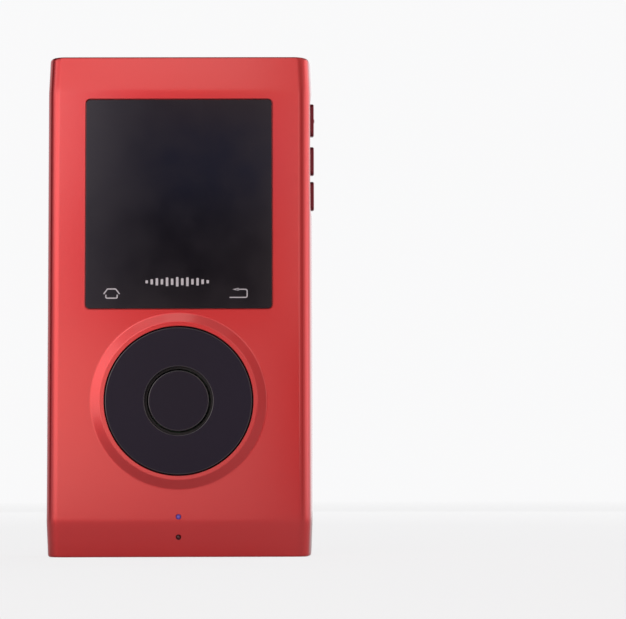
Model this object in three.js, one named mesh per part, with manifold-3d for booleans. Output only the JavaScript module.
// Pocket digital audio player with a click wheel, side keys and a colour screen.
// Millimetres. +Z up: the player stands on its bottom end. The screen faces -Y, the keys are on +X.
// Origin: middle of the bottom end.
import * as THREE from 'three';
import { mergeVertices } from 'three/addons/utils/BufferGeometryUtils.js';
import Module from 'manifold-3d';

const wasm = await Module();
wasm.setup();

// ---------------------------------------------------------------- driving dimensions
const WIDTH = 62.0;            // across the widest point of the side walls
const HEIGHT = 116.4;          // end to end
const DEPTH = 14.4;            // flat front to flat back
const HALF = WIDTH / 2;
const FRONT = -DEPTH / 2;      // y of the flat front
const BACK = DEPTH / 2;        // y of the flat back

const SIDE_BULGE = 0.42;       // the side walls are crowned by this much
const FRONT_ROUND = 2.9;       // radius of the long front edges
const BACK_ROUND = 0.35;       // radius of the long back edges
const END_TAPER = 8.4;         // each end draws in over this length
const END_SIDE_IN = 0.35;      // sides draw in at the ends
const END_FACE_IN = 0.5;       // front draws back at the ends
const END_BREAK = 0.45;        // edge break round each end face

const FRONT_WALL = 1.9;
const INNER_FRONT = FRONT + FRONT_WALL;
const CAVITY_X = 28.7;         // half width of the hollow
const CAVITY_Z0 = 2.4;
const CAVITY_Z1 = HEIGHT - 2.4;
const COVER_T = 1.25;
const COVER_GAP = 0.2;
const LEDGE_Y = BACK - COVER_T - 0.15;
const RECESS_X = 29.95;        // half width of the back recess
const RIM_Z = 1.1;             // rim left above and below the back cover

const GLASS_W = 43.3;
const GLASS_Z0 = 57.4;
const GLASS_Z1 = 106.3;
const GLASS_T = 0.8;
const GLASS_R = 0.95;
const GLASS_GAP = 0.15;

const WHEEL_Z = 36.0;          // height of the wheel's axis
const BOSS_R = 20.2;           // foot of the raised ring round the wheel
const PLATEAU_R = 18.6;        // outer edge of its flat top
const BOSS_H = 0.5;
const OPENING_R = 17.3;
const WHEEL_R = 17.08;
const WHEEL_INNER_R = 7.9;
const BUTTON_R = 7.05;
const WHEEL_FACE = FRONT - 0.42;
const BUTTON_FACE = FRONT - 0.36;
const BUTTON_TRAVEL = 0.35;

const LED_Z = [9.25, 4.55];
const LED_HOLE_R = 0.6;

const KEY_HALF_Y = 1.6;
const KEY_TOP_X = 31.5;
const KEY_TRAVEL = 0.3;
const KEYS = [
  { name: 'power_key', z: 102.3, length: 7.7, pip: true },
  { name: 'volume_up_key', z: 92.6, length: 6.7, pip: false },
  { name: 'volume_down_key', z: 84.3, length: 6.8, pip: false },
];
const FLAT_X = 30.63;          // floor of the flat milled behind the keys
const FLAT_Z0 = 78.9;
const FLAT_Z1 = 108.8;

const BOARD_Y0 = -1.6;
const BOARD_Y1 = -0.6;
const JACK_X = 15.0;
const JACK_Y = 2.5;
const USB_Y = 1.15;
const CARD_X = 17.0;
const CARD_Y = 0.4;

const BOARD_SCREWS = [[-25.6, 7.2], [25.6, 7.2], [-25.6, 110.6], [25.6, 110.6]];
const BRACKET_SCREWS = [[-24.2, 60.4], [24.2, 60.4], [-24.2, 103.2], [24.2, 103.2]];
const RETAINER_PCR = 20.6;
const RETAINER_SCREWS = [30, 150, 270].map((a) => {
  const t = (a * Math.PI) / 180;
  return [RETAINER_PCR * Math.cos(t), WHEEL_Z + RETAINER_PCR * Math.sin(t)];
});

// ---------------------------------------------------------------- geometry helpers
// Shared-vertex, position-only copy with its faces pointing out.
function tidy(geometry) {
  let g = geometry.clone();
  for (const key of Object.keys(g.attributes)) if (key !== 'position') g.deleteAttribute(key);
  g = mergeVertices(g, 1e-4);
  const p = g.attributes.position;
  const src = g.index.array;
  const tri = [];
  let volume = 0;
  const a = new THREE.Vector3();
  const b = new THREE.Vector3();
  const c = new THREE.Vector3();
  for (let i = 0; i < src.length; i += 3) {
    const [i0, i1, i2] = [src[i], src[i + 1], src[i + 2]];
    if (i0 === i1 || i1 === i2 || i0 === i2) continue;
    tri.push(i0, i1, i2);
    a.fromBufferAttribute(p, i0);
    b.fromBufferAttribute(p, i1);
    c.fromBufferAttribute(p, i2);
    volume += a.dot(b.cross(c));
  }
  if (volume < 0) for (let i = 0; i < tri.length; i += 3) [tri[i + 1], tri[i + 2]] = [tri[i + 2], tri[i + 1]];
  return { position: new Float32Array(p.array), index: new Uint32Array(tri) };
}

function solid(geometry) {
  const t = tidy(geometry);
  return new wasm.Manifold(new wasm.Mesh({ numProp: 3, vertProperties: t.position, triVerts: t.index }));
}

function geometryOf(manifold) {
  const m = manifold.getMesh();
  const g = new THREE.BufferGeometry();
  g.setAttribute('position', new THREE.BufferAttribute(new Float32Array(m.vertProperties), 3));
  g.setIndex(new THREE.BufferAttribute(new Uint32Array(m.triVerts), 1));
  g.computeVertexNormals();
  return g;
}

const add = (...list) => list.reduce((s, t) => s.add(t));
const cut = (s, ...list) => list.reduce((r, t) => r.subtract(t), s);

// Rounded rectangle as a Shape.
function roundedRect(x0, y0, x1, y1, r, steps = 3) {
  const s = new THREE.Shape();
  const arc = (cx, cy, a0) => {
    for (let i = 0; i <= steps; i++) {
      const a = a0 + (Math.PI / 2) * (i / steps);
      const x = cx + r * Math.cos(a);
      const y = cy + r * Math.sin(a);
      if (s.curves.length === 0 && s.currentPoint.lengthSq() === 0 && i === 0 && a0 === -Math.PI / 2) s.moveTo(x, y);
      else s.lineTo(x, y);
    }
  };
  arc(x1 - r, y0 + r, -Math.PI / 2);
  arc(x1 - r, y1 - r, 0);
  arc(x0 + r, y1 - r, Math.PI / 2);
  arc(x0 + r, y0 + r, Math.PI);
  s.closePath();
  return s;
}

function polygon(points) {
  const s = new THREE.Shape();
  s.moveTo(points[0][0], points[0][1]);
  for (let i = 1; i < points.length; i++) s.lineTo(points[i][0], points[i][1]);
  s.closePath();
  return s;
}

const extrudeUp = (shape, depth) => new THREE.ExtrudeGeometry(shape, { depth, bevelEnabled: false, steps: 1, curveSegments: 6 });

// A shape drawn in (x, z), given thickness from y0 to y1.
function plate(shape, y0, y1) {
  const g = extrudeUp(shape, y1 - y0);
  g.rotateX(Math.PI / 2);
  g.translate(0, y1, 0);
  return g;
}

// A shape drawn in (x, y), standing from z0 to z1.
function column(shape, z0, z1) {
  const g = extrudeUp(shape, z1 - z0);
  g.translate(0, 0, z0);
  return g;
}

// A shape drawn in (y, z), given thickness from x0 to x1.
function slab(shape, x0, x1) {
  const g = extrudeUp(shape, x1 - x0);
  // (u, v, w) -> (x = w, y = u, z = v)
  g.applyMatrix4(new THREE.Matrix4().set(0, 0, 1, x0, 1, 0, 0, 0, 0, 1, 0, 0, 0, 0, 0, 1));
  return g;
}

function box(x0, x1, y0, y1, z0, z1) {
  const g = new THREE.BoxGeometry(x1 - x0, y1 - y0, z1 - z0);
  g.translate((x0 + x1) / 2, (y0 + y1) / 2, (z0 + z1) / 2);
  return g;
}

// Round solid about a Y axis through (x, z); profile is [radius, y] pairs, closed by itself or on the axis.
function turned(profile, x, z, segments = 36) {
  const closed = profile[0][0] > 0;
  const pts = profile.map(([r, y]) => new THREE.Vector2(r, y));
  if (closed) pts.push(pts[0].clone());
  const g = new THREE.LatheGeometry(pts, segments);
  g.translate(x, 0, z);
  return g;
}

// Plain cylinder along Y.
const pinY = (r, y0, y1, x, z, segments = 12) => turned([[0, y0], [r, y0], [r, y1], [0, y1]], x, z, segments);

// Plain cylinder along X.
function pinX(r, x0, x1, y, z, segments = 12) {
  const g = new THREE.CylinderGeometry(r, r, x1 - x0, segments);
  g.rotateZ(Math.PI / 2);
  g.translate((x0 + x1) / 2, y, z);
  return g;
}

// Plain cylinder along Z.
function pinZ(r, z0, z1, x, y, segments = 16) {
  const g = new THREE.CylinderGeometry(r, r, z1 - z0, segments);
  g.rotateX(Math.PI / 2);
  g.translate(x, y, (z0 + z1) / 2);
  return g;
}

// ---------------------------------------------------------------- assembly
const player = new THREE.Group();
player.name = 'digital_audio_player';

const finishes = {
  red: { color: 0xc8403f, roughness: 0.42, metalness: 0.85 },
  glass: { color: 0x17161c, roughness: 0.08, metalness: 0.0 },
  black: { color: 0x2c2830, roughness: 0.45, metalness: 0.1 },
  maroon: { color: 0x64141e, roughness: 0.45, metalness: 0.7 },
  foam: { color: 0x202020, roughness: 0.95, metalness: 0.0 },
  board: { color: 0x123c2a, roughness: 0.6, metalness: 0.0 },
  chip: { color: 0x1a1a1c, roughness: 0.7, metalness: 0.0 },
  steel: { color: 0xb9bcc0, roughness: 0.35, metalness: 1.0 },
  foil: { color: 0x9fa3a8, roughness: 0.5, metalness: 0.6 },
  nylon: { color: 0xd9d4c6, roughness: 0.6, metalness: 0.0 },
  brass: { color: 0xb58b3c, roughness: 0.35, metalness: 1.0 },
  amber: { color: 0xb4741e, roughness: 0.6, metalness: 0.0 },
  lensBlue: { color: 0x6e50a0, roughness: 0.2, metalness: 0.0 },
  lensRed: { color: 0x3a1418, roughness: 0.2, metalness: 0.0 },
  redWire: { color: 0xa01818, roughness: 0.6, metalness: 0.0 },
  blackWire: { color: 0x161616, roughness: 0.6, metalness: 0.0 },
};

function part(name, shape, finish) {
  const m = shape instanceof THREE.BufferGeometry ? solid(shape) : shape;
  const mesh = new THREE.Mesh(geometryOf(m), new THREE.MeshStandardMaterial({ ...finishes[finish] }));
  mesh.name = name;
  player.add(mesh);
  return mesh;
}

// ---- front housing: one machined aluminium shell, open at the back
// Cross-section of the outside at a station, as a ring of [x, y].
function outline(sideIn, faceIn, edge) {
  const xw = HALF - sideIn - edge;                 // widest
  const xe = xw - SIDE_BULGE;                      // at both ends of the crowned wall
  const yf = FRONT + faceIn + edge;
  const yb = BACK - edge;
  const r = FRONT_ROUND - edge * 0.5;
  const half = [];
  half.push([xe - BACK_ROUND, yb]);
  half.push([xe - BACK_ROUND * 0.3, yb - BACK_ROUND * 0.3]);
  const n = 6;
  const y0 = yb - BACK_ROUND;
  const y1 = yf + r;
  for (let i = 0; i <= n; i++) {
    const s = (2 * i) / n - 1;
    half.push([xw - SIDE_BULGE * s * s, y0 + (y1 - y0) * (i / n)]);
  }
  const k = 6;
  for (let i = 1; i <= k; i++) {
    const a = (Math.PI / 2) * (i / k);
    half.push([xe - r + r * Math.cos(a), y1 - r * Math.sin(a)]);
  }
  const ring = half.slice();
  for (let i = half.length - 1; i >= 0; i--) ring.push([-half[i][0], half[i][1]]);
  return ring;
}

function loft(stations) {
  const n = stations[0].ring.length;
  const pos = [];
  for (const s of stations) for (const [x, y] of s.ring) pos.push(x, y, s.z);
  const index = [];
  for (let j = 0; j < stations.length - 1; j++)
    for (let i = 0; i < n; i++) {
      const a = j * n + i;
      const b = j * n + ((i + 1) % n);
      index.push(a, b, b + n, a, b + n, a + n);
    }
  const cap = (j, flip) => {
    const base = j * n;
    const contour = stations[j].ring.map(([x, y]) => new THREE.Vector2(x, y));
    for (const [a, b, c] of THREE.ShapeUtils.triangulateShape(contour, []))
      index.push(base + a, base + (flip ? c : b), base + (flip ? b : c));
  };
  cap(0, false);
  cap(stations.length - 1, true);
  const g = new THREE.BufferGeometry();
  g.setAttribute('position', new THREE.Float32BufferAttribute(pos, 3));
  g.setIndex(index);
  return g;
}

// The caps must wind against the sides' sense, whichever way the ring runs.
function closedLoft(stations) {
  const g = loft(stations);
  const n = stations[0].ring.length;
  const sideTris = (stations.length - 1) * n * 2;
  const idx = Array.from(g.index.array);
  const used = new Set();
  for (let t = 0; t < sideTris; t++)
    for (let e = 0; e < 3; e++) used.add(idx[3 * t + e] + ',' + idx[3 * t + ((e + 1) % 3)]);
  for (let t = sideTris; t < idx.length / 3; t++) {
    let clash = false;
    for (let e = 0; e < 3; e++) if (used.has(idx[3 * t + e] + ',' + idx[3 * t + ((e + 1) % 3)])) clash = true;
    if (clash) [idx[3 * t + 1], idx[3 * t + 2]] = [idx[3 * t + 2], idx[3 * t + 1]];
  }
  g.setIndex(idx);
  return g;
}

const stations = [
  { z: 0, ring: outline(END_SIDE_IN, END_FACE_IN, END_BREAK) },
  { z: END_BREAK * 0.35, ring: outline(END_SIDE_IN, END_FACE_IN, END_BREAK * 0.35) },
  { z: END_BREAK, ring: outline(END_SIDE_IN, END_FACE_IN, 0) },
  { z: END_TAPER, ring: outline(0, 0, 0) },
  { z: HEIGHT - END_TAPER, ring: outline(0, 0, 0) },
  { z: HEIGHT - END_BREAK, ring: outline(END_SIDE_IN, END_FACE_IN, 0) },
  { z: HEIGHT - END_BREAK * 0.35, ring: outline(END_SIDE_IN, END_FACE_IN, END_BREAK * 0.35) },
  { z: HEIGHT, ring: outline(END_SIDE_IN, END_FACE_IN, END_BREAK) },
];

let housing = solid(closedLoft(stations));
housing = add(
  housing,
  solid(turned([[0, -6.4], [BOSS_R, -6.4], [BOSS_R, FRONT - 0.01], [PLATEAU_R, FRONT - BOSS_H], [0, FRONT - BOSS_H]], 0, WHEEL_Z, 48)),
);
// hollow, back recess
housing = cut(
  housing,
  solid(plate(roundedRect(-CAVITY_X, CAVITY_Z0, CAVITY_X, CAVITY_Z1, 1.6), INNER_FRONT, BACK + 2)),
  solid(plate(roundedRect(-RECESS_X, RIM_Z, RECESS_X, HEIGHT - RIM_Z, 1.2), LEDGE_Y, BACK + 2)),
);
// bosses on the inside of the front wall
const bossRoot = INNER_FRONT - 0.4;
for (const [x, z] of BOARD_SCREWS) housing = housing.add(solid(pinY(1.9, bossRoot, BOARD_Y0 - 0.1, x, z, 16)));
for (const [x, z] of BRACKET_SCREWS) housing = housing.add(solid(pinY(1.6, bossRoot, -4.35, x, z, 16)));
for (const [x, z] of RETAINER_SCREWS) housing = housing.add(solid(pinY(1.5, bossRoot, -4.15, x, z, 16)));
// screw holes
for (const [x, z] of BOARD_SCREWS) housing = housing.subtract(solid(pinY(0.75, -4.6, 0, x, z)));
for (const [x, z] of BRACKET_SCREWS) housing = housing.subtract(solid(pinY(0.75, -6.1, -3, x, z)));
for (const [x, z] of RETAINER_SCREWS) housing = housing.subtract(solid(pinY(0.75, -6.1, -3, x, z)));
// screen: pocket for the glass, window behind it
housing = cut(
  housing,
  solid(plate(roundedRect(-GLASS_W / 2 - GLASS_GAP, GLASS_Z0 - GLASS_GAP, GLASS_W / 2 + GLASS_GAP, GLASS_Z1 + GLASS_GAP, GLASS_R + GLASS_GAP), FRONT - 1, -6.05)),
  solid(plate(roundedRect(-20.2, 58.9, 20.2, 104.9, 0.8), FRONT - 1, INNER_FRONT + 1)),
);
// wheel opening
housing = cut(housing, solid(pinY(OPENING_R, FRONT - 2, INNER_FRONT + 1, 0, WHEEL_Z, 48)));
// status lights
for (const z of LED_Z) housing = housing.subtract(solid(pinY(LED_HOLE_R, FRONT - 1, INNER_FRONT + 1, 0, z, 16)));
// flat behind the keys, with easy run-outs at both ends
housing = cut(
  housing,
  solid(plate(polygon([[FLAT_X, FLAT_Z0 + 3.4], [FLAT_X + 0.12, FLAT_Z0 + 1.8], [HALF + 0.4, FLAT_Z0 - 0.6], [HALF + 0.4, FLAT_Z1 + 0.6], [FLAT_X + 0.12, FLAT_Z1 - 1.8], [FLAT_X, FLAT_Z1 - 3.4]]), FRONT - 1, BACK + 1)),
);
// key slots
for (const k of KEYS) {
  const h = k.length / 2 + 0.15;
  housing = housing.subtract(solid(slab(roundedRect(-KEY_HALF_Y - 0.15, k.z - h, KEY_HALF_Y + 0.15, k.z + h, 0.9), CAVITY_X - 1, HALF + 1)));
}
// sockets at the two ends
for (const x of [-JACK_X, JACK_X]) housing = housing.subtract(solid(pinZ(2.95, CAVITY_Z1 - 1, HEIGHT + 1, x, JACK_Y, 20)));
housing = cut(
  housing,
  solid(column(roundedRect(-4.75, USB_Y - 1.85, 4.75, USB_Y + 1.85, 1.4), -1, CAVITY_Z0 + 1)),
  solid(column(roundedRect(CARD_X - 6.0, CARD_Y - 0.7, CARD_X + 6.0, CARD_Y + 0.7, 0.4, 2), -1, CAVITY_Z0 + 1)),
);
part('front_housing', housing, 'red');

// ---- back cover and its seal
part(
  'back_cover',
  plate(roundedRect(-RECESS_X + COVER_GAP, RIM_Z + COVER_GAP, RECESS_X - COVER_GAP, HEIGHT - RIM_Z - COVER_GAP, 1.0, 4), BACK - COVER_T, BACK),
  'red',
);
part(
  'cover_seal',
  cut(
    solid(plate(roundedRect(-29.6, 1.5, 29.6, HEIGHT - 1.5, 1.0), LEDGE_Y + 0.02, LEDGE_Y + 0.13)),
    solid(plate(roundedRect(-28.9, 2.6, 28.9, HEIGHT - 2.6, 1.4), LEDGE_Y - 1, LEDGE_Y + 1)),
  ),
  'foam',
);

// ---- screen
part('display_glass', plate(roundedRect(-GLASS_W / 2, GLASS_Z0, GLASS_W / 2, GLASS_Z1, GLASS_R, 4), FRONT + 0.04, FRONT + 0.04 + GLASS_T), 'glass');
part(
  'display_gasket',
  cut(
    solid(plate(roundedRect(-21.4, 57.65, 21.4, 106.05, 0.8), -6.3, -6.1)),
    solid(plate(roundedRect(-20.3, 58.8, 20.3, 105.0, 0.6), -7, -5)),
  ),
  'foam',
);
part('display_panel', box(-19.8, 19.8, -6.2, -4.45, 59.4, 104.5), 'chip');
{
  // pressed plate behind the panel, with ears for its screws and a notch for the flex
  const s = polygon([
    [-22, 58.5], [-22.6, 58.3], [-26, 58.3], [-26, 62.5], [-22, 62.8], [-22, 100.8], [-26, 101.1], [-26, 105.4], [-22, 105.6],
    [22, 105.6], [26, 105.4], [26, 101.1], [22, 100.8], [22, 62.8], [26, 62.5], [26, 58.3], [22.6, 58.3], [22, 58.5],
    [8.6, 58.5], [8.6, 61.5], [-8.6, 61.5], [-8.6, 58.5],
  ]);
  let m = solid(plate(s, -4.25, -3.85));
  for (const [x, z] of BRACKET_SCREWS) m = m.subtract(solid(pinY(0.8, -5, -3, x, z)));
  part('display_bracket', m, 'steel');
}
{
  // flat ribbon from the foot of the panel back to the board
  const mid = [[-4.75, 59.15], [-4.75, 58.1], [-4.4, 57.35], [-3.6, 56.95], [-2.7, 56.8], [-2.2, 56.4], [-2.05, 55.7], [-2.05, 53.4]];
  const t = 0.1;
  const left = [];
  const right = [];
  mid.forEach(([y, z], i) => {
    const p = mid[Math.max(i - 1, 0)];
    const q = mid[Math.min(i + 1, mid.length - 1)];
    const dy = q[0] - p[0];
    const dz = q[1] - p[1];
    const l = Math.hypot(dy, dz);
    left.push([y - (dz / l) * t, z + (dy / l) * t]);
    right.push([y + (dz / l) * t, z - (dy / l) * t]);
  });
  part('display_flex', slab(polygon([...left, ...right.reverse()]), -7, 7), 'amber');
}
part('flex_connector', box(-7.6, 7.6, -2.75, BOARD_Y0 - 0.12, 50.4, 53.2), 'nylon');

// ---- main board and what is on it
{
  const w = 27.5;
  const s = polygon([
    [-w + 1, 3.4], [w - 1, 3.4], [w, 4.4], [w, 77.4], [24.3, 77.8], [24.3, 107.6], [w, 108.0], [w, 112.2], [w - 1, 113.2], [-w + 1, 113.2], [-w, 112.2], [-w, 4.4],
  ]);
  let m = solid(plate(s, BOARD_Y0, BOARD_Y1));
  for (const [x, z] of BOARD_SCREWS) m = m.subtract(solid(pinY(0.85, -3, 1, x, z)));
  part('main_board', m, 'board');
}
part(
  'audio_shield',
  cut(solid(box(-21, 1, -3.5, BOARD_Y0 - 0.12, 64, 98)), solid(box(-20.7, 0.7, -3.2, 0, 64.3, 97.7))),
  'steel',
);
part('dac_chip', box(-14, -6, -2.8, BOARD_Y0 - 0.12, 77, 85), 'chip');
part('fpga_chip', box(4, 18, -3.0, BOARD_Y0 - 0.12, 80, 94), 'chip');
part('processor_chip', box(5, 17, -2.9, BOARD_Y0 - 0.12, 64, 76), 'chip');
part('memory_chip', box(-5.5, 5.5, BOARD_Y1 + 0.12, 0.7, 96, 104), 'chip');

// ---- battery
part('battery_pad', box(-20, 20, BOARD_Y1 + 0.12, 0.6, 30, 87), 'foam');
part('battery_cell', column(roundedRect(-22.5, 0.78, 22.5, 5.35, 1.6, 4), 27.5, 89.4), 'foil');
part('battery_protection_board', box(-12, 12, 2.4, 3.5, 89.7, 93.2), 'board');
part('battery_connector', box(-22.5, -17.6, BOARD_Y1 + 0.12, 2.0, 94.9, 99.1), 'nylon');
for (const [name, finish, pts] of [
  ['battery_lead_positive', 'redWire', [[-12.35, 2.95, 90.9], [-13.8, 2.95, 91.3], [-15.4, 2.0, 93.4], [-15.9, 1.2, 95.2], [-16.4, 0.9, 96.1], [-17.3, 0.9, 96.2]]],
  ['battery_lead_negative', 'blackWire', [[-12.35, 2.95, 92.4], [-13.2, 2.95, 92.8], [-14.2, 2.2, 95.0], [-14.9, 1.3, 97.2], [-15.8, 0.9, 97.9], [-17.3, 0.9, 98.0]]],
]) {
  const curve = new THREE.CatmullRomCurve3(pts.map((p) => new THREE.Vector3(...p)));
  const ring = new THREE.Shape();
  for (let i = 0; i < 8; i++) {
    const a = (i / 8) * Math.PI * 2;
    if (i === 0) ring.moveTo(0.42 * Math.cos(a), 0.42 * Math.sin(a));
    else ring.lineTo(0.42 * Math.cos(a), 0.42 * Math.sin(a));
  }
  ring.closePath();
  part(name, new THREE.ExtrudeGeometry(ring, { steps: 10, bevelEnabled: false, extrudePath: curve }), finish);
}

// ---- sockets
for (const [name, x, r] of [['headphone_jack', -JACK_X, 1.75], ['balanced_jack', JACK_X, 1.25]]) {
  let m = solid(box(x - 3.7, x + 3.7, BOARD_Y1 + 0.12, 5.4, 101.2, CAVITY_Z1 - 0.2));
  m = m.add(solid(pinZ(2.7, CAVITY_Z1 - 0.5, HEIGHT - 0.12, x, JACK_Y, 20)));
  m = m.subtract(solid(pinZ(r, 102.4, HEIGHT + 1, x, JACK_Y, 16)));
  part(name, m, 'chip');
}
{
  let m = solid(column(roundedRect(-4.5, USB_Y - 1.6, 4.5, USB_Y + 1.6, 1.2), 0.2, 8.0));
  m = m.subtract(solid(column(roundedRect(-4.15, USB_Y - 1.25, 4.15, USB_Y + 1.25, 0.95), -1, 7.2)));
  m = m.add(solid(box(-3.3, 3.3, USB_Y - 0.33, USB_Y + 0.33, 1.1, 7.6)));
  part('usb_socket', m, 'steel');
}
{
  let m = solid(box(CARD_X - 7.1, CARD_X + 7.1, BOARD_Y1 + 0.12, 1.35, 2.6, 17.6));
  m = m.subtract(solid(box(CARD_X - 5.7, CARD_X + 5.7, CARD_Y - 0.5, CARD_Y + 0.5, 1, 16.4)));
  part('card_reader', m, 'steel');
}

// ---- click wheel: fixed parts
part(
  'wheel_base',
  turned([[7.45, -5.9], [8.05, -5.9], [8.05, -2.45], [13.2, -2.45], [13.2, BOARD_Y0 - 0.12], [7.45, BOARD_Y0 - 0.12]], 0, WHEEL_Z, 24),
  'black',
);
part('wheel_bushing', turned([[8.2, -5.2], [8.78, -5.2], [8.78, -2.6], [8.2, -2.6]], 0, WHEEL_Z, 24), 'brass');
part('wheel_sensor', box(10.4, 12.6, -4.4, -2.6, WHEEL_Z - 1.6, WHEEL_Z + 1.6), 'chip');
{
  // ring that traps the wheel's flange, with three ears
  let m = solid(turned([[16.6, -4.05], [19.3, -4.05], [19.3, -3.6], [16.6, -3.6]], 0, WHEEL_Z, 36));
  for (const [x, z] of RETAINER_SCREWS) m = m.add(solid(pinY(2.0, -4.05, -3.6, x, z, 12)));
  for (const [x, z] of RETAINER_SCREWS) m = m.subtract(solid(pinY(0.8, -5, -3, x, z)));
  part('wheel_retainer', m, 'steel');
}

// ---- click wheel: turning parts
part(
  'wheel_ring',
  turned(
    [
      [WHEEL_INNER_R, WHEEL_FACE + 0.15], [WHEEL_INNER_R + 0.15, WHEEL_FACE], [WHEEL_R - 0.2, WHEEL_FACE], [WHEEL_R, WHEEL_FACE + 0.2],
      [WHEEL_R, -5.0], [18.0, -5.0], [18.0, -4.3], [16.2, -4.3], [16.2, -6.2], [WHEEL_INNER_R, -6.2],
    ],
    0, WHEEL_Z, 36,
  ),
  'black',
);
part('wheel_carrier', turned([[9.0, -6.05], [15.9, -6.05], [15.9, -5.5], [9.8, -5.5], [9.8, -2.95], [9.0, -2.95]], 0, WHEEL_Z, 24), 'steel');
{
  // toothed ring that the sensor reads
  const s = new THREE.Shape();
  const teeth = 24;
  for (let i = 0; i < teeth; i++)
    for (const [f, r] of [[0, 13.2], [0.5, 13.2], [0.5, 12.4], [1, 12.4]]) {
      const a = ((i + f) / teeth) * Math.PI * 2;
      if (i === 0 && f === 0) s.moveTo(r * Math.cos(a), r * Math.sin(a));
      else s.lineTo(r * Math.cos(a), r * Math.sin(a));
    }
  s.closePath();
  const hole = new THREE.Path();
  for (let i = 0; i < 24; i++) {
    const a = (i / 24) * Math.PI * 2;
    if (i === 0) hole.moveTo(10.1 * Math.cos(a), 10.1 * Math.sin(a));
    else hole.lineTo(10.1 * Math.cos(a), 10.1 * Math.sin(a));
  }
  hole.closePath();
  s.holes.push(hole);
  const g = plate(s, -5.35, -4.85);
  g.translate(0, 0, WHEEL_Z);
  part('wheel_code_ring', g, 'brass');
}

// ---- centre button, its plunger and switch
part(
  'centre_button',
  turned([[0, BUTTON_FACE], [BUTTON_R - 0.22, BUTTON_FACE], [BUTTON_R, BUTTON_FACE + 0.22], [BUTTON_R, -4.9], [6.3, -4.9], [6.3, -6.4], [0, -6.4]], 0, WHEEL_Z),
  'black',
);
part('centre_button_plunger', turned([[0, -6.25], [6.05, -6.25], [6.05, -5.6], [1.6, -5.6], [1.6, -4.05], [0, -4.05]], 0, WHEEL_Z, 24), 'nylon');
part(
  'centre_switch',
  add(solid(box(-2.6, 2.6, -3.1, BOARD_Y0 - 0.12, WHEEL_Z - 2.6, WHEEL_Z + 2.6)), solid(pinY(1.4, -3.5, -3.0, 0, WHEEL_Z, 16))),
  'chip',
);

// ---- status lights
LED_Z.forEach((z, i) => {
  const top = FRONT + 0.35 + (i === 1 ? 0.22 : 0);
  const name = i === 0 ? 'upper' : 'lower';
  part(`status_lens_${name}`, turned([[0, top], [0.5, top], [0.5, -5.15], [1.1, -5.15], [1.1, -4.5], [0.7, -4.5], [0.7, -2.8], [0, -2.8]], 0, z, 12), i === 0 ? 'lensBlue' : 'lensRed');
  part(`status_led_${name}`, box(-0.8, 0.8, -2.55, BOARD_Y0 - 0.12, z - 0.5, z + 0.5), 'nylon');
});

// ---- side keys
part('key_board', box(25.0, 25.8, -2.4, 2.4, 79.2, 107.6), 'board');
for (const k of KEYS) {
  const short = k.name.replace('_key', '');
  part(
    `${short}_switch`,
    add(solid(box(25.95, 27.1, -1.5, 1.5, k.z - 1.9, k.z + 1.9)), solid(pinX(0.7, 27.0, 27.35, 0, k.z))),
    'chip',
  );
  const h = k.length / 2;
  part(
    `${k.name}_plunger`,
    add(solid(slab(roundedRect(-2.1, k.z - h - 0.5, 2.1, k.z + h + 0.5, 0.6), 28.1, 28.55)), solid(pinX(0.7, 27.75, 28.2, 0, k.z))),
    'foam',
  );
  let cap = solid(slab(roundedRect(-KEY_HALF_Y, k.z - h, KEY_HALF_Y, k.z + h, 0.8), 28.7, KEY_TOP_X - 0.2));
  cap = cap.add(solid(slab(roundedRect(-KEY_HALF_Y + 0.2, k.z - h + 0.2, KEY_HALF_Y - 0.2, k.z + h - 0.2, 0.6), 28.7, KEY_TOP_X)));
  if (k.pip) cap = cap.add(solid(pinX(0.45, KEY_TOP_X - 0.5, KEY_TOP_X + 0.15, 0, k.z - 0.1)));
  part(k.name, cap, 'maroon');
}

// ---- screws
function screw(name, x, z, yTip, ySeat, headR, headT) {
  part(
    name,
    turned([[0, yTip], [0.5, yTip], [0.5, ySeat], [headR, ySeat], [headR, ySeat + headT * 0.7], [headR * 0.75, ySeat + headT], [0, ySeat + headT]], x, z, 8),
    'steel',
  );
}
BOARD_SCREWS.forEach(([x, z], i) => screw(`board_screw_${i + 1}`, x, z, -4.4, BOARD_Y1 + 0.1, 1.35, 0.7));
BRACKET_SCREWS.forEach(([x, z], i) => screw(`bracket_screw_${i + 1}`, x, z, -5.9, -3.75, 1.25, 0.65));
RETAINER_SCREWS.forEach(([x, z], i) => screw(`retainer_screw_${i + 1}`, x, z, -5.9, -3.5, 1.25, 0.65));

export default player;
